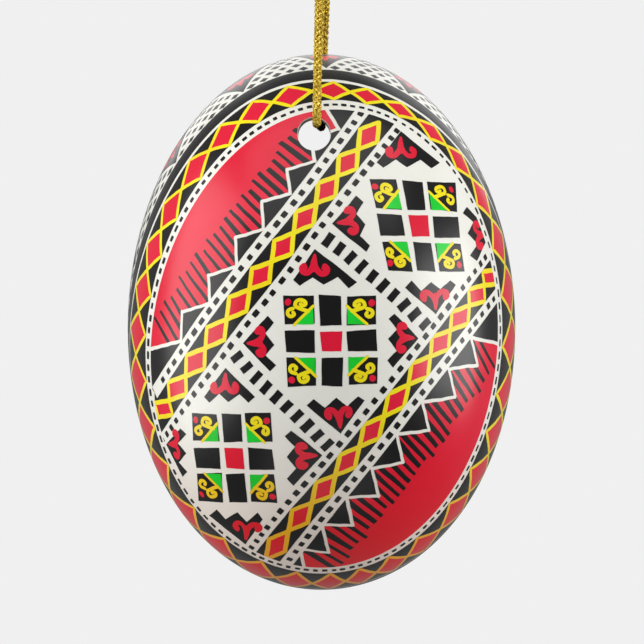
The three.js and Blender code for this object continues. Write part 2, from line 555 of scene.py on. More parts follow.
class Drawing:
    """A list of painted shapes, later ones over earlier ones, each (dye, zone, chart outline)."""

    def __init__(self, seed):
        self.shapes = []
        self.hand = random.Random(seed)

    def fill(self, dye, zone, points, shake=0.05):
        self.shapes.append((dye, zone, self.shaken(np.asarray(points, float), shake)))

    def shaken(self, points, shake):
        """Moves an outline as a hand does, by about shake millimetres. A millimetre is about two degrees."""
        if not shake:
            return points
        phase = [self.hand.uniform(0, 2 * math.pi) for _ in range(4)]
        u, v = points[:, 0], points[:, 1]
        shift_u = np.sin(0.55 * u + 0.31 * v + phase[0]) + 0.6 * np.sin(1.3 * v - 0.7 * u + phase[1])
        shift_v = np.sin(0.5 * v - 0.35 * u + phase[2]) + 0.6 * np.sin(1.2 * u + 0.8 * v + phase[3])
        return points + 1.2 * shake * np.stack([shift_u, shift_v], 1)

    def stroke(self, dye, zone, points, widths, shake=0.04, caps=True):
        """A painted line through chart points, widths in millimetres on the egg."""
        line = on_egg(points)
        widths = np.broadcast_to(np.asarray(widths, float), (len(line),))
        ahead = np.gradient(line, axis=0)
        ahead /= np.linalg.norm(ahead, axis=1)[:, None]
        side = np.cross(outward(line), ahead)
        side /= np.linalg.norm(side, axis=1)[:, None]
        left = line + side * widths[:, None] / 2
        right = line - side * widths[:, None] / 2
        parts = [left, right[::-1]]
        if caps:
            parts = [left, self.cap(line[-1], ahead[-1], side[-1], widths[-1]), right[::-1],
                     self.cap(line[0], -ahead[0], -side[0], widths[0])]
        self.fill(dye, zone, to_chart(np.concatenate(parts)), shake)

    @staticmethod
    def cap(end, ahead, side, width):
        turns = np.radians([45, 90, 135])[:, None]
        return end + width / 2 * (np.cos(turns) * side + np.sin(turns) * ahead)

    def dot(self, dye, zone, centre, width, sides=10, shake=0.05):
        middle = on_egg(centre)
        normal = outward(middle)[0]
        side = np.cross(normal, [0, 0, 1.0])
        side /= np.linalg.norm(side)
        along = np.cross(normal, side)
        turns = np.linspace(0, 2 * np.pi, sides, endpoint=False)[:, None]
        rim = middle + width / 2 * (np.cos(turns) * side + np.sin(turns) * along)
        self.fill(dye, zone, to_chart(rim), shake)


# ------------------------------------------------------------------ the window: two sashes and a field

# Middle lines of the four ladders that edge the two slanting sashes, seen square from the front.
UPPER_OUTER = [(6.4, 27.5), (5.0, 25.6), (-2.6, 15.4), (-8.1, 8.6), (-13.8, 1.1), (-17.4, -4.2), (-20.2, -8.5)]
UPPER_INNER = [(11.2, 25.8), (9.8, 24.0), (0.5, 12.3), (-4.4, 5.5), (-9.3, -0.6), (-13.2, -5.8), (-15.7, -9.1),
               (-18.8, -13.7), (-19.8, -15.2)]
LOWER_INNER = [(21.6, 10.0), (20.4, 8.6), (15.1, 1.6), (7.2, -8.5), (0.8, -16.3), (-4.7, -22.5), (-8.5, -27.3),
               (-9.6, -28.9)]
LOWER_OUTER = [(21.6, 3.8), (20.6, 2.5), (16.1, -3.4), (12.0, -8.7), (6.6, -15.7), (0.0, -23.8), (-4.1, -29.0),
               (-5.2, -30.4)]
UPPER_PITCHES = (4.1, 4.1, 4.25, 4.4, 4.4, 4.3, 4.5, 4.4, 4.1, 3.6, 2.4)
LOWER_PITCHES = (2.4, 3.0, 3.85, 3.9, 4.3, 4.9, 4.7, 4.5, 4.4, 4.4, 4.5)
STEP = 0.7                    # between the points of an outline
LADDER_WIDE = 1.62
DASH_PITCH = 1.69
DASH_WIDE = 0.7
YELLOW_LINE = 0.5
WAX_LINE = 0.43


def sash_ladder(pen, points, start):
    """An undyed strip with a row of short black dashes down its middle."""
    line = smooth(points)
    pen.stroke(UNDYED, WINDOW, from_front(dense(line, STEP)), LADDER_WIDE, shake=0.03, caps=False)
    rail = on_egg(from_front(dense(line, 0.3)))
    for k in range(int((length_of(rail) - start) / DASH_PITCH)):
        middle = start + k * DASH_PITCH + pen.hand.uniform(-0.12, 0.12)
        half = 0.41 + pen.hand.uniform(-0.07, 0.07)
        ends, _ = along_line(rail, [middle - half, middle, middle + half])
        wide = DASH_WIDE + pen.hand.uniform(-0.07, 0.07)
        pen.stroke(BLACK, WINDOW, to_chart(ends), [wide * 0.9, wide, wide * 0.85], shake=0.03, caps=False)


def sash(pen, outer, inner, first, pitches, half_width):
    """A black strip of red rhombs in crossing yellow lines, between two ladders."""
    outer, inner = smooth(outer), smooth(inner)
    shares = np.linspace(0, 1, 60)
    edge, _ = along_line(outer, shares * length_of(outer))
    other, _ = along_line(inner, shares * length_of(inner))
    pen.fill(BLACK, WINDOW, from_front(np.vstack([edge, other[::-1]])), shake=0)
    middle = dense((edge + other) / 2, 0.1)
    start = int(np.argmin(np.linalg.norm(middle - np.array(first), axis=1)))
    run = middle[start:]
    reach = np.concatenate([[0], np.cumsum(pitches)])
    nodes, _ = along_line(run, reach)
    centres, ways = along_line(run, (reach[1:] + reach[:-1]) / 2)
    sides = np.stack([-ways[:, 1], ways[:, 0]], 1) * half_width
    for k in range(len(pitches)):
        quad = [nodes[k], centres[k] + sides[k], nodes[k + 1], centres[k] - sides[k]]
        pen.fill(RED, WINDOW, from_front(dense(quad, STEP, closed=True)), shake=0.04)
    for k in range(len(pitches)):
        for via in (centres[k] + sides[k], centres[k] - sides[k]):
            path = from_front(dense([nodes[k], via, nodes[k + 1]], 0.55))
            pen.stroke(YELLOW, WINDOW, path, 1.14 * YELLOW_LINE, shake=0.06)


def teeth(pen, ladder, valleys, tip_shift, start, end):
    """Black saw teeth between an undyed zigzag line and a ladder."""
    zigzag = list(start)
    for across, up in valleys:
        zigzag += [(across, up), (across + tip_shift[0], up + tip_shift[1])]
    zigzag.append(end)
    pen.fill(BLACK, WINDOW, from_front(np.vstack([dense(zigzag, STEP), smooth(ladder)[::-1]])), shake=0)
    for corner, after in zip(zigzag[:-1], zigzag[1:]):
        pen.stroke(UNDYED, WINDOW, from_front(dense([corner, after], 0.6)), WAX_LINE, shake=0.09)


def comb(pen, starts, lean_first, lean_last, long_first, long_last, count, wides):
    """Black strokes that fan out from a line of starts."""
    line = smooth(starts)
    places, _ = along_line(line, np.linspace(0, length_of(line), count))
    for k, place in enumerate(places):
        share = k / (count - 1)
        lean = math.radians(lean_first + (lean_last - lean_first) * share + pen.hand.uniform(-2.5, 2.5))
        long = long_first + (long_last - long_first) * share
        way = np.array([math.cos(lean), math.sin(lean)])
        start = place + way * pen.hand.uniform(-0.35, 0.35)
        wide = (wides[0] + (wides[1] - wides[0]) * share) * pen.hand.uniform(0.75, 1.25)
        path = from_front(dense([start, start + way * long], 0.8))
        widths = np.linspace(wide * 0.75, wide * 1.1, len(path))
        pen.stroke(BLACK, WINDOW, path, widths, shake=0.05, caps=False)


def cross_ladder(pen, points, bars):
    """Black bars across an undyed strip, from one sash to the other."""
    line = smooth(points)
    places, ways = along_line(line, np.linspace(0, length_of(line), bars))
    for place, way in zip(places, ways):
        side = np.array([-way[1], way[0]]) * (0.84 + pen.hand.uniform(-0.06, 0.06))
        wide = 0.93 + pen.hand.uniform(-0.1, 0.1)
        skew = way * pen.hand.uniform(-0.08, 0.08)
        bar = from_front([place - side - skew, place, place + side + skew])
        pen.stroke(BLACK, WINDOW, bar, [wide, wide * 0.96, wide], shake=0.04, caps=False)


# Teeth on the far side of a triangle: shares along it, and millimetres out from it.
TRIANGLE_TEETH = ((0.13, 0.72), (0.31, -0.42), (0.52, 0.6), (0.70, -0.42), (0.90, 0.68))


def toothed_triangle(pen, apex, left, right):
    """A black triangle whose far side ends in three teeth."""
    apex, left, right = (np.array(p, float) for p in (apex, left, right))
    base = right - left
    out = (left + right) / 2 - apex
    out -= base * out.dot(base) / base.dot(base)
    out /= np.linalg.norm(out)
    shape = [apex, left]
    for share, reach in TRIANGLE_TEETH:
        shape.append(left + base * share + out * (reach + pen.hand.uniform(-0.1, 0.1)))
    shape.append(right)
    pen.fill(BLACK, WINDOW, from_front(dense(shape, STEP, closed=True)), shake=0.05)


HORN_STEM = ((0, 0.75), (0.03, 1.5), (0.0, 2.3))
HORN_ARM = ((0.0, 1.8), (0.32, 2.5), (0.82, 2.95), (1.36, 2.85), (1.5, 2.35), (1.2, 2.05))


def horns(pen, zone, place, scale=1.0):
    """A red pair of ram's horns. place turns (side, deep) millimetres from an apex into the chart."""
    stem = np.array([place(across * scale, deep * scale) for across, deep in HORN_STEM])
    pen.stroke(RED, zone, stem, np.array([0.35, 0.75, 1.0]) * scale, shake=0.04)
    for side in (-1, 1):
        stretch = side * pen.hand.uniform(0.9, 1.12) * scale
        path = np.array([place(across * stretch, deep * scale) for across, deep in smooth(HORN_ARM, 3)])
        widths = np.interp(np.linspace(0, 1, len(path)), [0, 0.5, 0.8, 1], [0.72, 0.68, 0.62, 0.66]) * scale
        pen.stroke(RED, zone, path, widths, shake=0.05)
        pen.dot(RED, zone, place(1.24 * stretch, 2.3 * scale), 0.9 * scale, shake=0.06)


def window_horns(pen, apex, left, right):
    """Horns whose stem starts at a triangle's apex, square to its toothed side."""
    apex, left, right = (np.array(p, float) for p in (apex, left, right))
    base = (right - left) / np.linalg.norm(right - left)
    inward = (left + right) / 2 - apex
    inward -= base * inward.dot(base)
    depth = float(np.linalg.norm(inward))
    inward /= depth
    deep_share = min(1.0, 0.27 * depth)

    def place(across, deep):
        return from_front(apex + base * across + inward * deep * deep_share)[0]

    horns(pen, WINDOW, place)


CELL_EDGES = ((0.0, 0.32), (0.385, 0.62), (0.68, 1.0))
CURL_STEM = ((0.82, 0.535), (0.64, 0.48), (0.40, 0.38))
CURLS = (((0.39, 0.34), (0.43, 0.21), (0.55, 0.155), (0.70, 0.21), (0.73, 0.31), (0.64, 0.35), (0.57, 0.30)),
         ((0.31, 0.45), (0.16, 0.51), (0.12, 0.61), (0.16, 0.70), (0.25, 0.73), (0.34, 0.66), (0.31, 0.59)))


def panel(pen, *corners):
    """A square of nine cells: red in the middle, black beside it, and a flower in each corner."""
    top_left, top_right, bottom_right, bottom_left = (np.array(p, float) for p in corners)

    def at(across, down):
        top = top_left + (top_right - top_left) * across
        bottom = bottom_left + (bottom_right - bottom_left) * across
        return top + (bottom - top) * down

    for row, (top, bottom) in enumerate(CELL_EDGES):
        for column, (left, right) in enumerate(CELL_EDGES):
            quad = []
            for across, down in ((left, top), (right, top), (right, bottom), (left, bottom)):
                quad.append(at(across + pen.hand.uniform(-0.012, 0.012), down + pen.hand.uniform(-0.012, 0.012)))
            dye = RED if row == column == 1 else BLACK
            pen.fill(dye, WINDOW, from_front(dense(quad, STEP, closed=True)), shake=0.04)
            if row != 1 and column != 1:
                spans = (left, right) if column == 0 else (right, left)
                drops = (top, bottom) if row == 0 else (bottom, top)
                corner_flower(pen, at, spans, drops)


def corner_flower(pen, at, spans, drops):
    """A red bud in the outer corner, a green leaf in the inner one, and a yellow double curl between."""

    def cell(across, down):
        return at(spans[0] + (spans[1] - spans[0]) * across, drops[0] + (drops[1] - drops[0]) * down)

    def path(points, per_span=3):
        return from_front(np.array([cell(*point) for point in smooth(points, per_span)]))

    leaf = [cell(0.99, 0.35), cell(0.99, 0.99), cell(0.33, 0.99)]
    pen.fill(GREEN, WINDOW, from_front(dense(leaf, STEP, closed=True)), shake=0.02)
    pen.stroke(YELLOW, WINDOW, from_front(dense([cell(1.0, 0.35), cell(0.32, 1.0)], 0.5)), 0.34, shake=0.04)
    pen.dot(RED, WINDOW, from_front(cell(0.15, 0.24))[0], 0.85, shake=0.06)
    pen.stroke(YELLOW, WINDOW, path(CURL_STEM), 0.46, shake=0.03)
    for curl in CURLS:
        pen.stroke(YELLOW, WINDOW, path(curl), 0.46, shake=0.05)


# Black triangles of the field: apex and the two feet of the toothed side, seen square from the front.
TRIANGLES = (
    ((-0.8, 8.9), (4.3, 4.9), (-3.4, 5.2)),
    ((-9.5, -2.5), (-6.5, 0.8), (-6.2, -5.9)),
    ((11.7, -1.9), (8.6, -5.4), (8.8, 1.1)),
    ((2.3, -13.4), (-1.8, -10.0), (5.2, -9.4)),
    ((9.6, 23.1), (14.3, 19.3), (6.7, 19.3)),
    ((1.3, 11.9), (4.2, 15.3), (5.4, 8.5)),
    ((20.4, 10.8), (18.8, 7.4), (17.6, 14.0)),
    ((13.8, 1.0), (10.1, 4.2), (16.2, 4.5)),
    ((-11.6, -5.5), (-8.0, -9.0), (-14.2, -9.0)),
    ((-18.8, -14.8), (-17.1, -12.8), (-16.8, -18.7)),
    ((0.1, -16.0), (-3.4, -19.7), (-3.7, -13.0)),
    ((-9.2, -26.9), (-13.6, -23.4), (-7.1, -23.8)),
)


def draw_window(pen):
    """The face inside the ring: red lenses with combs and teeth, two sashes, and the field between."""
    beyond_left = [(-25, -2), (-25, 30), (0, 34)]
    pen.fill(RED, WINDOW, from_front(np.vstack([smooth(UPPER_OUTER), beyond_left])), shake=0)
    comb(pen, [(-3.4, 23.4), (-6.1, 19.8), (-8.9, 15.9), (-12.0, 12.2), (-15.0, 8.2), (-17.6, 4.5), (-20.2, 0.6)],
         -35, -62, 5.4, 4.6, 26, (0.68, 0.45))
    teeth(pen, UPPER_OUTER, [(2.1, 23.4), (-0.8, 19.5), (-3.8, 15.6), (-7.0, 11.3), (-10.3, 6.7), (-13.5, 2.3),
                             (-17.0, -2.2)], (-3.4, -1.0), ((0.2, 28.5), (0.4, 26.1)), (-22.6, -3.6))
    beyond_right = [(-2, -33), (12, -33), (25, -20), (25, 0)]
    pen.fill(RED, WINDOW, from_front(np.vstack([smooth(LOWER_OUTER), beyond_right])), shake=0)
    comb(pen, [(21.0, -5.6), (19.2, -8.0), (17.5, -10.2), (15.2, -13.4), (12.5, -17.1), (10.1, -19.9),
               (7.8, -22.7), (5.5, -25.6), (3.8, -27.7), (1.6, -29.8)], 118, 150, 4.6, 5.0, 30, (0.62, 0.72))
    teeth(pen, LOWER_OUTER, [(18.1, -1.8), (15.4, -5.6), (12.2, -9.6), (9.1, -13.5), (6.1, -17.6), (3.0, -21.1),
                             (0.1, -24.5), (-2.6, -27.4)], (0.8, -3.4), ((23.0, -3.0),), (-2.5, -31.5))
    sash(pen, UPPER_OUTER, UPPER_INNER, (6.8, 24.3), UPPER_PITCHES, 1.32)
    sash(pen, LOWER_OUTER, LOWER_INNER, (20.6, 6.8), LOWER_PITCHES, 1.22)
    for points, start in ((UPPER_OUTER, 1.0), (UPPER_INNER, 0.8), (LOWER_INNER, 1.2), (LOWER_OUTER, 0.6)):
        sash_ladder(pen, points, start)
    for triangle in TRIANGLES:
        toothed_triangle(pen, *triangle)
        window_horns(pen, *triangle)
    cross_ladder(pen, [(0.8, 9.95), (4.6, 6.95), (8.7, 3.3), (12.5, -0.2)], 10)
    cross_ladder(pen, [(-10.2, -4.15), (-6.45, -8.1), (-2.7, -11.5), (0.7, -14.8)], 10)
    panel(pen, (-4.6, 3.3), (6.6, 3.2), (6.7, -7.5), (-4.1, -7.8))
    panel(pen, (5.8, 17.3), (16.1, 16.9), (17.2, 6.1), (8.0, 6.3))
    panel(pen, (-15.7, -11.0), (-6.2, -11.0), (-5.4, -21.9), (-14.9, -21.6))


# ------------------------------------------------------------------ the ring and the nets beyond it

# The middles of the band's rhombs: degrees clockwise from the top.
RHOMBS = (2.5, 13.3, 24.5, 36.2, 47.2, 58.3, 69.7, 80.8, 92.5, 103.7, 113.3, 123.7, 134.7, 148.3, 158.8, 168.7,
          178, 188.8, 200.3, 213.3, 225.3, 238.3, 248, 259.2, 270, 279.5, 289.7, 300, 312.8, 325.3, 336.7, 348.3)
DASHES_ROUND = 122


def draw_band(pen, ring):
    """From outside in: a black band, an undyed line, a band of rhombs and a ladder, all round the window."""
    turns = np.arange(0, 360, 1.0)
    pen.fill(BLACK, BAND, turned(turns, ring.black_end(turns)), shake=0)
    pen.fill(UNDYED, BAND, turned(turns, ring.black_start(turns)), shake=0.03)
    pen.fill(BLACK, BAND, turned(turns, ring.band_end(turns)), shake=0.03)
    pen.fill(UNDYED, BAND, turned(turns, ring.ladder(turns) + LADDER_HALF), shake=0.03)
    middles = (RHOMBS[-1] - 360, *RHOMBS, RHOMBS[0] + 360)
    rhombs = []
    for before, here, after in zip(middles, middles[1:], middles[2:]):
        west, east = (before + here) / 2, (here + after) / 2
        rhombs.append([(west, float(ring.crossing(west))), (here, float(ring.band_end(here)) - 0.1),
                       (east, float(ring.crossing(east))), (here, float(ring.ladder(here)) + BAND_START + 0.25)])
    for rhomb in rhombs:
        edge = dense(rhomb, 1.3, closed=True)
        pen.fill(RED, BAND, turned(edge[:, 0], edge[:, 1]), shake=0.04)
    for west, top, east, foot in rhombs:
        for via in (top, foot):
            path = dense([west, via, east], 1.3)
            pen.stroke(YELLOW, BAND, turned(path[:, 0], path[:, 1]), YELLOW_LINE, shake=0.06)
    for k in range(DASHES_ROUND):
        theta = k * 360.0 / DASHES_ROUND + pen.hand.uniform(-0.15, 0.15)
        half = 0.82 + pen.hand.uniform(-0.12, 0.12)
        places = np.array([theta - half, theta, theta + half])
        path = turned(places, ring.ladder(places) + pen.hand.uniform(-0.1, 0.1))
        wide = 0.5 + 0.1 * math.cos(math.radians(theta - 240)) + pen.hand.uniform(-0.07, 0.07)
        pen.stroke(BLACK, BAND, path, [wide * 0.85, wide, wide * 0.9], shake=0.03, caps=False)


NETS = 14
NET_TURN = 360.0 / NETS
FIRST_NET = 13.4
NET_ROWS = 6
NET_TALL = 22.0


def front_limit(theta):
    """How far out the front chart reaches: to the outer edge of the back's black band."""
    return 180.0 - BACK_SCALE * BACK_RING.black_end(-np.asarray(theta, float))


def net_room(theta):
    """How tall the nets stand, in degrees: as far as the back's black band, or their full height."""
    return np.minimum(front_limit(theta) - FRONT_RING.black_end(theta), NET_TALL)


def in_zone(theta, share):
    """Degrees round the ring, and a share of a net's height, out from the front's black band."""
    return turned(theta, FRONT_RING.black_end(theta) + net_room(theta) * np.asarray(share, float))


def draw_nets(pen):
    """Nets of small black lozenges that stand on the front's band, and horned triangles between them."""
    turns = np.arange(0, 360, 1.0)
    pen.fill(BLACK, SIDE, turned(turns, front_limit(turns) + 1), shake=0)
    pen.fill(UNDYED, SIDE, in_zone(turns, 1.0), shake=0)
    for k in range(NETS):
        peak = FIRST_NET + k * NET_TURN
        valley = peak + NET_TURN / 2
        room = float(net_room(valley))
        half = NET_TURN * 0.5
        shape = dense([(valley, 0.05), (valley - half, 1.12), (valley + half, 1.12)], 1.6, True)
        pen.fill(BLACK, SIDE, in_zone(shape[:, 0], shape[:, 1]), shake=0.03)

        def place(across, deep, valley=valley, room=room):
            return in_zone(valley + across * 2.0, 0.26 + deep * 2.05 / room)

        horns(pen, SIDE, place, 1.15 * room / NET_TALL)
        for row in range(NET_ROWS):
            count = NET_ROWS - row
            for j in range(count):
                across = peak + (j - (count - 1) / 2) * NET_TURN * 0.158
                lozenge(pen, across, 0.075 + row * 0.14)


def lozenge(pen, theta, share):
    grow = pen.hand.uniform(0.85, 1.15)
    spots = np.array([(-0.054, 0), (0, 0.054), (0.054, 0), (0, -0.054)]) * grow
    pen.fill(BLACK, SIDE, in_zone(theta + spots[:, 0] * NET_TURN, share + spots[:, 1]), shake=0.03)


# ------------------------------------------------------------------ from drawing to triangles

def inside(outline_points, points):
    """Which points lie inside a closed outline."""
    x, y = points[:, 0], points[:, 1]
    found = np.zeros(len(points), bool)
    after = np.roll(outline_points, -1, axis=0)
    for (x1, y1), (x2, y2) in zip(outline_points, after):
        if y1 == y2:
            continue
        crossed = (y1 > y) != (y2 > y)
        found ^= crossed & (x < (x2 - x1) * (y - y1) / (y2 - y1) + x1)
    return found


HOLE_SIDES = 48


def hole_edge(facing, grow=0.0):
    """The rim of a drilled hole, on the chart that faces that way."""
    turns = np.linspace(0, 2 * math.pi, HOLE_SIDES, endpoint=False)
    radius = HOLE_BORE / 2 + grow
    side = HOLE_SIDE + radius * np.cos(turns)
    height = HOLE_RISE + radius * np.sin(turns)
    depth = np.sqrt(outline(height) ** 2 - side ** 2)
    return to_chart(np.stack([side, -facing * depth, height], 1), facing)


def limit_edge(facing):
    turns = np.arange(0, 360, 0.75)
    if facing > 0:
        return turned(turns, front_limit(turns))
    return turned(turns, BACK_SCALE * BACK_RING.black_end(turns))


def chart_mesh(outlines, limit, hole, spacing):
    """Triangles over one chart, with every outline as edges, inside limit and outside the hole."""
    reach = float(np.abs(limit).max())
    columns = np.arange(-reach, reach, spacing)
    rows = np.arange(-reach, reach, spacing * 0.866)
    grid = np.array([(x + (j % 2) * spacing / 2, y) for j, y in enumerate(rows) for x in columns])
    grid = grid[inside(limit, grid * 1.012) & ~inside(hole, grid)]
    vertices, edges = [grid], []
    made = len(grid)
    for edge in [limit, hole, *(dense(shape, 1.4, closed=True) for shape in outlines)]:
        vertices.append(edge)
        edges += [(made + i, made + (i + 1) % len(edge)) for i in range(len(edge))]
        made += len(edge)
    flat = [tuple(p) for p in np.vstack(vertices)]
    points, _, faces, _, _, _ = delaunay_2d_cdt(flat, edges, [], 0, 1e-4, False)
    points = np.array([tuple(p) for p in points])
    faces = np.array([tuple(f) for f in faces if len(f) == 3])
    centres = points[faces].mean(1)
    kept = inside(limit, centres) & ~inside(hole, centres)
    return points, faces[kept], centres[kept]


def painted(shapes, centres, window_edge, band_edge):
    """The dye of each triangle: the last shape over its middle, of the zone that it lies in."""
    in_window = inside(window_edge, centres)
    in_band = inside(band_edge, centres) & ~in_window
    zones = {WINDOW: in_window, BAND: in_band, SIDE: ~in_window & ~in_band}
    dyes = np.zeros(len(centres), int)
    for dye, zone, shape in shapes:
        low, high = shape.min(0), shape.max(0)
        near = zones[zone] & (centres >= low).all(1) & (centres <= high).all(1)
        index = np.nonzero(near)[0]
        if len(index):
            dyes[index[inside(shape, centres[index])]] = dye
    return dyes


FILM_OUTSIDE, FILM_INSIDE = 0.022, 0.004   # the dyed film's faces, above the bare shell


def dyed_charts():
    """For the front and the back: points on the egg in millimetres, triangles, and each triangle's dye."""
    made = []
    turns = np.arange(0, 360, 1.0)
    for facing, ring, seed, scale in ((1, FRONT_RING, 11, 1.0), (-1, BACK_RING, 23, BACK_SCALE)):
        pen = Drawing(seed)
        draw_window(pen)
        draw_band(pen, ring)
        if facing > 0:
            draw_nets(pen)
        shapes = [(dye, zone, shape * scale) for dye, zone, shape in pen.shapes]
        window_edge = turned(turns, ring.ladder(turns) - LADDER_HALF) * scale
        band_edge = turned(turns, ring.black_end(turns)) * scale
        outlines = [window_edge, *(shape for _, _, shape in shapes)]
        limit = limit_edge(facing)
        hole = hole_edge(facing, 0.04)
        points, faces, centres = chart_mesh(outlines, limit, hole, 1.7)
        if facing < 0:
            band_edge = limit * 1.01
        dyes = painted(shapes, centres, window_edge, band_edge)
        made.append((on_egg(points, facing), faces, dyes))
    return made


def film(points, faces):
    """A thin closed skin over the egg: an outer face, an inner face, and a wall along every open edge."""
    used, where = np.unique(faces, return_inverse=True)
    points, faces = points[used], where.reshape(-1, 3)
    normals = outward(points)
    count = len(points)
    walls = walls_between(open_edges(faces, count), count)
    vertices = np.vstack([points + normals * FILM_OUTSIDE, points + normals * FILM_INSIDE])
    return vertices, np.vstack([faces, faces[:, ::-1] + count, walls]), np.vstack([normals, normals])


def make_dyes():
    charts = dyed_charts()
    for dye, name, material in ((BLACK, "black_dye", black_dye()), (RED, "red_dye", red_dye()),
                                (YELLOW, "yellow_dye", yellow_dye()), (GREEN, "green_dye", green_dye())):
        parts, faces, normals = [], [], []
        made = 0
        for points, triangles, dyes in charts:
            some, some_faces, some_normals = film(points, triangles[dyes == dye])
            parts.append(some)
            faces.append(some_faces + made)
            normals.append(some_normals)
            made += len(some)
        piece = new_piece(name, placed(np.vstack(parts)), np.vstack(faces), np.vstack(normals))
        piece.data.materials.append(material)
        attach(piece, "egg")


def open_edges(faces, count):
    """Edges that only one face uses, in the direction in which that face runs."""
    edges = np.vstack([faces[:, [0, 1]], faces[:, [1, 2]], faces[:, [2, 0]]])
    keys = edges[:, 0] * count + edges[:, 1]
    return edges[~np.isin(keys, edges[:, 1] * count + edges[:, 0])]


def walls_between(edges, count):
    """Two triangles from each open edge of the first face to the same edge of the second one."""
    start, end = edges[:, 0], edges[:, 1]
    return np.vstack([np.stack([start, start + count, end + count], 1), np.stack([start, end + count, end], 1)])


def whole_outside():
    """The front's and the back's halves of the shell's outside, joined where they meet."""
    (front, front_faces, _), (back, back_faces, _) = (
        chart_mesh([], limit_edge(facing), hole_edge(facing), 1.5) for facing in (1, -1))
    front, back = on_egg(front, 1), on_egg(back, -1)
    front_rim = np.unique(open_edges(front_faces, len(front)))
    back_rim = np.unique(open_edges(back_faces, len(back)))
    gaps = np.linalg.norm(back[back_rim][:, None] - front[front_rim][None], axis=2)
    twins = np.arange(len(back)) + len(front)
    met = gaps.min(1) < 0.01
    twins[back_rim[met]] = front_rim[gaps.argmin(1)[met]]
    points, faces = np.vstack([front, back]), np.vstack([front_faces, twins[back_faces]])
    used, where = np.unique(faces, return_inverse=True)
    return points[used], where.reshape(-1, 3)


def make_shell():
    """The bare shell, closed: outside, inside, and the walls of the two holes."""
    points, faces = whole_outside()
    normals = outward(points)
    count = len(points)
    vertices = np.vstack([points, points - normals * SHELL_WALL])
    walls = walls_between(open_edges(faces, count), count)
    all_faces = np.vstack([faces, faces[:, ::-1] + count, walls])
    shell = new_piece("eggshell_blown", placed(vertices), all_faces)
    shell.data.materials.append(bare_shell())
    inward = np.array([HOLE_SIDE, 0, HOLE_RISE]) - vertices[walls].reshape(-1, 3)
    inward[:, 1] = 0
    inward /= np.linalg.norm(inward, axis=1)[:, None]
    corners = np.vstack([normals[faces].reshape(-1, 3), -normals[faces[:, ::-1]].reshape(-1, 3), inward])
    shell.data.normals_split_custom_set([tuple(n) for n in corners])
    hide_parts("eggshell")
    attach(shell, "egg")


# ------------------------------------------------------------------ materials

def linear(red, green, blue):
    """A colour as the eye names it, 0 to 255, to the shader's scale."""
    parts = []
    for part in (red, green, blue):
        share = part / 255
        parts.append(share / 12.92 if share <= 0.04045 else ((share + 0.055) / 1.055) ** 2.4)
    return (*parts, 1.0)


def new_group(name, inputs, outputs):
    group = bpy.data.node_groups.new(name, "ShaderNodeTree")
    for label, value in inputs:
        socket = group.interface.new_socket(name=label, in_out="INPUT", socket_type="NodeSocketFloat")
        socket.default_value = value
    for label in outputs:
        group.interface.new_socket(name=label, in_out="OUTPUT", socket_type="NodeSocketFloat")
    start = group.nodes.new("NodeGroupInput")
    end = group.nodes.new("NodeGroupOutput")
    return group, start, end


def hand_dye_and_foot_shade_group():
    """Uneven dye: broad clouds where it soaked in more, and fine grain that follows the shell. Also a painted shade
    mask that darkens the colour toward the egg's foot, where less light falls.
    """
    group, start, end = new_group("uneven dye and painted foot shade", [("Cloud Scale", 90.0), ("Grain Scale", 1500.0)],
                                  ["Clouds", "Grain", "Relief", "Painted Foot Shade"])
    place = group.nodes.new("ShaderNodeTexCoord")
    clouds = group.nodes.new("ShaderNodeTexNoise")
    clouds.inputs["Detail"].default_value = 4.0
    clouds.inputs["Roughness"].default_value = 0.6
    grain = group.nodes.new("ShaderNodeTexNoise")
    grain.inputs["Detail"].default_value = 3.0
    pores = group.nodes.new("ShaderNodeTexVoronoi")
    spread = group.nodes.new("ShaderNodeMapRange")
    spread.inputs["From Min"].default_value = 0.3
    spread.inputs["From Max"].default_value = 0.7
    relief = group.nodes.new("ShaderNodeMath")
    relief.operation = "MULTIPLY_ADD"
    relief.inputs[1].default_value = 0.35
    heights = group.nodes.new("ShaderNodeSeparateXYZ")
    # Painted shade: a mask that rises from below the egg's middle to its foot, where the colour is shaded darker.
    foot = group.nodes.new("ShaderNodeMapRange")
    foot.interpolation_type = "SMOOTHSTEP"
    foot.inputs["From Min"].default_value = float(EGG_MIDDLE[2]) - 0.008
    foot.inputs["From Max"].default_value = float(shell_low.z)
    links = group.links
    links.new(place.outputs["Object"], heights.inputs["Vector"])
    links.new(heights.outputs["Z"], foot.inputs["Value"])
    links.new(foot.outputs["Result"], end.inputs["Painted Foot Shade"])
    for node in (clouds, grain, pores):
        links.new(place.outputs["Object"], node.inputs["Vector"])
    links.new(start.outputs["Cloud Scale"], clouds.inputs["Scale"])
    links.new(start.outputs["Grain Scale"], grain.inputs["Scale"])
    links.new(start.outputs["Grain Scale"], pores.inputs["Scale"])
    links.new(clouds.outputs["Fac"], spread.inputs["Value"])
    links.new(pores.outputs["Distance"], relief.inputs[0])
    links.new(grain.outputs["Fac"], relief.inputs[2])
    links.new(spread.outputs["Result"], end.inputs["Clouds"])
    links.new(grain.outputs["Fac"], end.inputs["Grain"])
    links.new(relief.outputs["Value"], end.inputs["Relief"])
    return group


UNEVEN_DYE_AND_FOOT_SHADE = hand_dye_and_foot_shade_group()


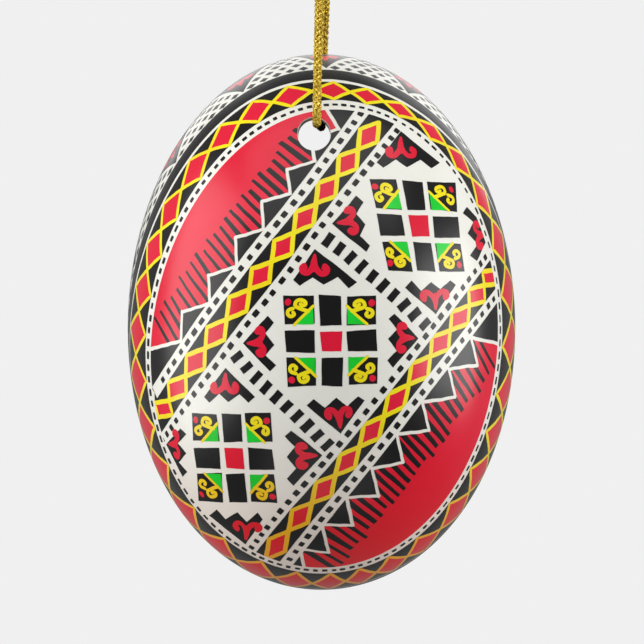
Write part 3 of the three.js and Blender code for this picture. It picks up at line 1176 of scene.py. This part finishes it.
def varnished(name, light, deep, low, cloud_scale=90.0, roughness=0.35, coat=1.0, coat_roughness=0.25, relief=0.00002):
    """A dyed or bare shell surface under a clear varnish. low is its colour at the egg's foot, a painted shade that
    darkens it where less light falls.
    """
    material = bpy.data.materials.new(name)
    material.use_nodes = True
    nodes, links = material.node_tree.nodes, material.node_tree.links
    shader = nodes["Principled BSDF"]
    shader.inputs["Coat Weight"].default_value = coat
    shader.inputs["Coat Roughness"].default_value = coat_roughness
    shader.inputs["Coat IOR"].default_value = 1.36
    shader.inputs["Specular IOR Level"].default_value = 0.1
    dye = nodes.new("ShaderNodeGroup")
    dye.node_tree = UNEVEN_DYE_AND_FOOT_SHADE
    dye.inputs["Cloud Scale"].default_value = cloud_scale
    dye.inputs["Grain Scale"].default_value = 1500.0
    mix = nodes.new("ShaderNodeMix")
    mix.data_type = "RGBA"
    mix.inputs["A"].default_value = light
    mix.inputs["B"].default_value = deep
    rough = nodes.new("ShaderNodeMapRange")
    rough.inputs["To Min"].default_value = roughness - 0.08
    rough.inputs["To Max"].default_value = roughness + 0.08
    bump = nodes.new("ShaderNodeBump")
    bump.inputs["Strength"].default_value = 0.35
    bump.inputs["Distance"].default_value = relief
    # Painted shade: mixes the colour toward low at the egg's foot.
    shade = nodes.new("ShaderNodeMix")
    shade.data_type = "RGBA"
    shade.inputs["B"].default_value = low
    links.new(dye.outputs["Clouds"], mix.inputs["Factor"])
    links.new(mix.outputs["Result"], shade.inputs["A"])
    links.new(dye.outputs["Painted Foot Shade"], shade.inputs["Factor"])
    links.new(shade.outputs["Result"], shader.inputs["Base Color"])
    links.new(dye.outputs["Grain"], rough.inputs["Value"])
    links.new(rough.outputs["Result"], shader.inputs["Roughness"])
    links.new(dye.outputs["Relief"], bump.inputs["Height"])
    links.new(bump.outputs["Normal"], shader.inputs["Normal"])
    return material


def bare_shell():
    # low is painted shade: the shell darker and warmer toward the foot.
    light, deep, low = linear(243, 243, 235), linear(238, 236, 226), linear(238, 222, 210)
    return varnished("bare shell under varnish", light, deep, low)


def black_dye():
    # low is painted shade: the black darker toward the foot.
    light, deep, low = linear(8, 7, 8), linear(16, 13, 14), linear(6, 4, 4)
    return varnished("black dye", light, deep, low, cloud_scale=140.0)


def red_dye():
    # low is painted shade: the red deeper toward the foot.
    light, deep, low = linear(232, 20, 58), linear(222, 12, 48), linear(224, 4, 22)
    return varnished("red dye", light, deep, low, cloud_scale=110.0)


def yellow_dye():
    # low is painted shade: the yellow darker and more orange toward the foot.
    light, deep, low = linear(250, 238, 18), linear(244, 218, 14), linear(240, 160, 8)
    return varnished("yellow dye", light, deep, low, cloud_scale=150.0)


def green_dye():
    # low is painted shade: the green darker toward the foot.
    light, deep, low = linear(16, 222, 60), linear(18, 200, 40), linear(14, 190, 30)
    return varnished("green dye", light, deep, low, cloud_scale=200.0)


def filament_group():
    """Fine foil filaments that wind along a yarn, and a noise for the glints painted between them."""
    group, start, end = new_group("foil filaments", [("Filaments", 5.0), ("Twist", 9.0)], ["Relief", "Glint"])
    marks = group.nodes.new("ShaderNodeUVMap")
    marks.uv_map = "yarn"
    split = group.nodes.new("ShaderNodeSeparateXYZ")
    lay = group.nodes.new("ShaderNodeMath")
    lay.operation = "MULTIPLY_ADD"
    count = group.nodes.new("ShaderNodeMath")
    count.operation = "MULTIPLY"
    around = group.nodes.new("ShaderNodeMath")
    around.operation = "MULTIPLY"
    around.inputs[1].default_value = 2 * math.pi
    wave = group.nodes.new("ShaderNodeMath")
    wave.operation = "SINE"
    glint = group.nodes.new("ShaderNodeTexNoise")
    glint.inputs["Scale"].default_value = 6.0
    glint.inputs["Detail"].default_value = 4.0
    glint.inputs["Roughness"].default_value = 0.8
    place = group.nodes.new("ShaderNodeTexCoord")
    wide = group.nodes.new("ShaderNodeVectorMath")
    wide.operation = "SCALE"
    wide.inputs["Scale"].default_value = 700.0
    links = group.links
    links.new(marks.outputs["UV"], split.inputs["Vector"])
    links.new(split.outputs["Y"], lay.inputs[0])
    links.new(start.outputs["Twist"], lay.inputs[1])
    links.new(split.outputs["X"], count.inputs[0])
    links.new(start.outputs["Filaments"], count.inputs[1])
    links.new(count.outputs["Value"], lay.inputs[2])
    links.new(lay.outputs["Value"], around.inputs[0])
    links.new(around.outputs["Value"], wave.inputs[0])
    links.new(place.outputs["Object"], wide.inputs["Vector"])
    links.new(wide.outputs["Vector"], glint.inputs["Vector"])
    links.new(wave.outputs["Value"], end.inputs["Relief"])
    links.new(glint.outputs["Fac"], end.inputs["Glint"])
    return group


FOIL_FILAMENTS = filament_group()
MADE = {}


def gold_yarn():
    if "gold" in MADE:
        return MADE["gold"]
    material = bpy.data.materials.new("gold foil yarn")
    material.use_nodes = True
    nodes, links = material.node_tree.nodes, material.node_tree.links
    shader = nodes["Principled BSDF"]
    shader.inputs["Metallic"].default_value = 0.9
    shader.inputs["Specular IOR Level"].default_value = 0.6
    foil = nodes.new("ShaderNodeGroup")
    foil.node_tree = FOIL_FILAMENTS
    foil.inputs["Filaments"].default_value = 5.0
    foil.inputs["Twist"].default_value = 3.0
    # Painted glints and painted shade: the noise paints pale gold glints and dark brown shade patches into the yarn's
    # colour.
    glint_and_shade_colours = nodes.new("ShaderNodeValToRGB")
    glint_and_shade_colours.color_ramp.elements[0].position = 0.34
    glint_and_shade_colours.color_ramp.elements[0].color = linear(112, 80, 10)
    glint_and_shade_colours.color_ramp.elements[1].position = 0.66
    glint_and_shade_colours.color_ramp.elements[1].color = linear(255, 236, 130)
    middle = glint_and_shade_colours.color_ramp.elements.new(0.5)
    middle.color = linear(226, 190, 62)
    rough = nodes.new("ShaderNodeMapRange")
    rough.inputs["From Min"].default_value = 0.3
    rough.inputs["From Max"].default_value = 0.7
    rough.inputs["To Min"].default_value = 0.5
    rough.inputs["To Max"].default_value = 0.2
    bump = nodes.new("ShaderNodeBump")
    bump.inputs["Strength"].default_value = 0.8
    bump.inputs["Distance"].default_value = 0.00003
    links.new(foil.outputs["Glint"], glint_and_shade_colours.inputs["Fac"])
    links.new(glint_and_shade_colours.outputs["Color"], shader.inputs["Base Color"])
    links.new(foil.outputs["Glint"], rough.inputs["Value"])
    links.new(rough.outputs["Result"], shader.inputs["Roughness"])
    links.new(foil.outputs["Relief"], bump.inputs["Height"])
    links.new(bump.outputs["Normal"], shader.inputs["Normal"])
    MADE["gold"] = material
    return material


# The cord's core thread, coloured dark brown as painted shadow in the gaps between the yarns.
def shadow_dark_core():
    if "core" in MADE:
        return MADE["core"]
    material = bpy.data.materials.new("core thread dark as painted shadow")
    material.use_nodes = True
    nodes, links = material.node_tree.nodes, material.node_tree.links
    shader = nodes["Principled BSDF"]
    shader.inputs["Roughness"].default_value = 0.8
    foil = nodes.new("ShaderNodeGroup")
    foil.node_tree = FOIL_FILAMENTS
    mix = nodes.new("ShaderNodeMix")
    mix.data_type = "RGBA"
    mix.inputs["A"].default_value = linear(58, 38, 12)
    mix.inputs["B"].default_value = linear(96, 66, 20)
    links.new(foil.outputs["Glint"], mix.inputs["Factor"])
    links.new(mix.outputs["Result"], shader.inputs["Base Color"])
    MADE["core"] = material
    return material


# ------------------------------------------------------------------ floor and light

def make_floor():
    """A wide pale floor, well below the hanging egg."""
    depth = cad_low.z - 2.4
    turns = np.linspace(0, 2 * math.pi, 97)[:-1]
    rim = np.stack([4.0 * np.cos(turns), 4.0 * np.sin(turns), np.full(96, depth)], 1)
    faces = [(i, (i + 1) % 96, 96) for i in range(96)]
    floor = new_piece("floor", np.vstack([rim, [[0, 0, depth]]]), faces)
    material = bpy.data.materials.new("pale floor")
    material.use_nodes = True
    nodes, links = material.node_tree.nodes, material.node_tree.links
    shader = nodes["Principled BSDF"]
    shader.inputs["Roughness"].default_value = 0.9
    noise = nodes.new("ShaderNodeTexNoise")
    noise.inputs["Scale"].default_value = 3.0
    mix = nodes.new("ShaderNodeMix")
    mix.data_type = "RGBA"
    mix.inputs["A"].default_value = linear(240, 240, 240)
    mix.inputs["B"].default_value = linear(234, 234, 234)
    links.new(noise.outputs["Fac"], mix.inputs["Factor"])
    links.new(mix.outputs["Result"], shader.inputs["Base Color"])
    floor.data.materials.append(material)


def softbox(name, azimuth, elevation, distance, width, height, watts):
    """A rectangular soft light that faces the egg. Azimuth 0 is in front, and 90 is to the right."""
    data = bpy.data.lights.new(name, "AREA")
    data.shape = "RECTANGLE"
    data.size = width
    data.size_y = height
    data.energy = watts
    light = bpy.data.objects.new(name, data)
    bpy.context.scene.collection.objects.link(light)
    side, up = math.radians(azimuth), math.radians(elevation)
    way = np.array([math.sin(side) * math.cos(up), -math.cos(side) * math.cos(up), math.sin(up)])
    light.location = tuple(EGG_MIDDLE + way * distance)
    light.rotation_euler = (math.radians(90) - up, 0, side)
    light.visible_camera = False


def make_light():
    softbox("left softbox", -80, 6, 0.9, 0.8, 1.05, 7.8)
    softbox("right softbox", 83, 1, 0.9, 0.75, 0.55, 5.6)
    softbox("top softbox", 4, 60, 1.1, 2.1, 1.1, 10.5)
    softbox("low softbox", 0, -50, 1.4, 1.8, 1.0, 3.0)
    softbox("rear softbox", 178, 30, 1.6, 1.8, 1.2, 6.0)
    world = bpy.data.worlds.new("pale studio")
    bpy.context.scene.world = world
    world.use_nodes = True
    nodes, links = world.node_tree.nodes, world.node_tree.links
    background = nodes["Background"]
    background.inputs["Color"].default_value = linear(240, 240, 240)
    rays = nodes.new("ShaderNodeLightPath")
    level = nodes.new("ShaderNodeMapRange")
    level.inputs["To Min"].default_value = 0.26
    level.inputs["To Max"].default_value = 1.0
    links.new(rays.outputs["Is Camera Ray"], level.inputs["Value"])
    links.new(level.outputs["Result"], background.inputs["Strength"])
    bpy.context.scene.view_settings.view_transform = "Standard"


# ------------------------------------------------------------------ the pieces

knot = make_knot()
apart = (CORD_THICKNESS + FIT_GAP) / 2
make_strand("cord_front", -1, FRONT_LEAN, -apart)
make_strand("cord_rear", 1, REAR_LEAN, apart)
make_shell()
make_dyes()
make_floor()
make_light()
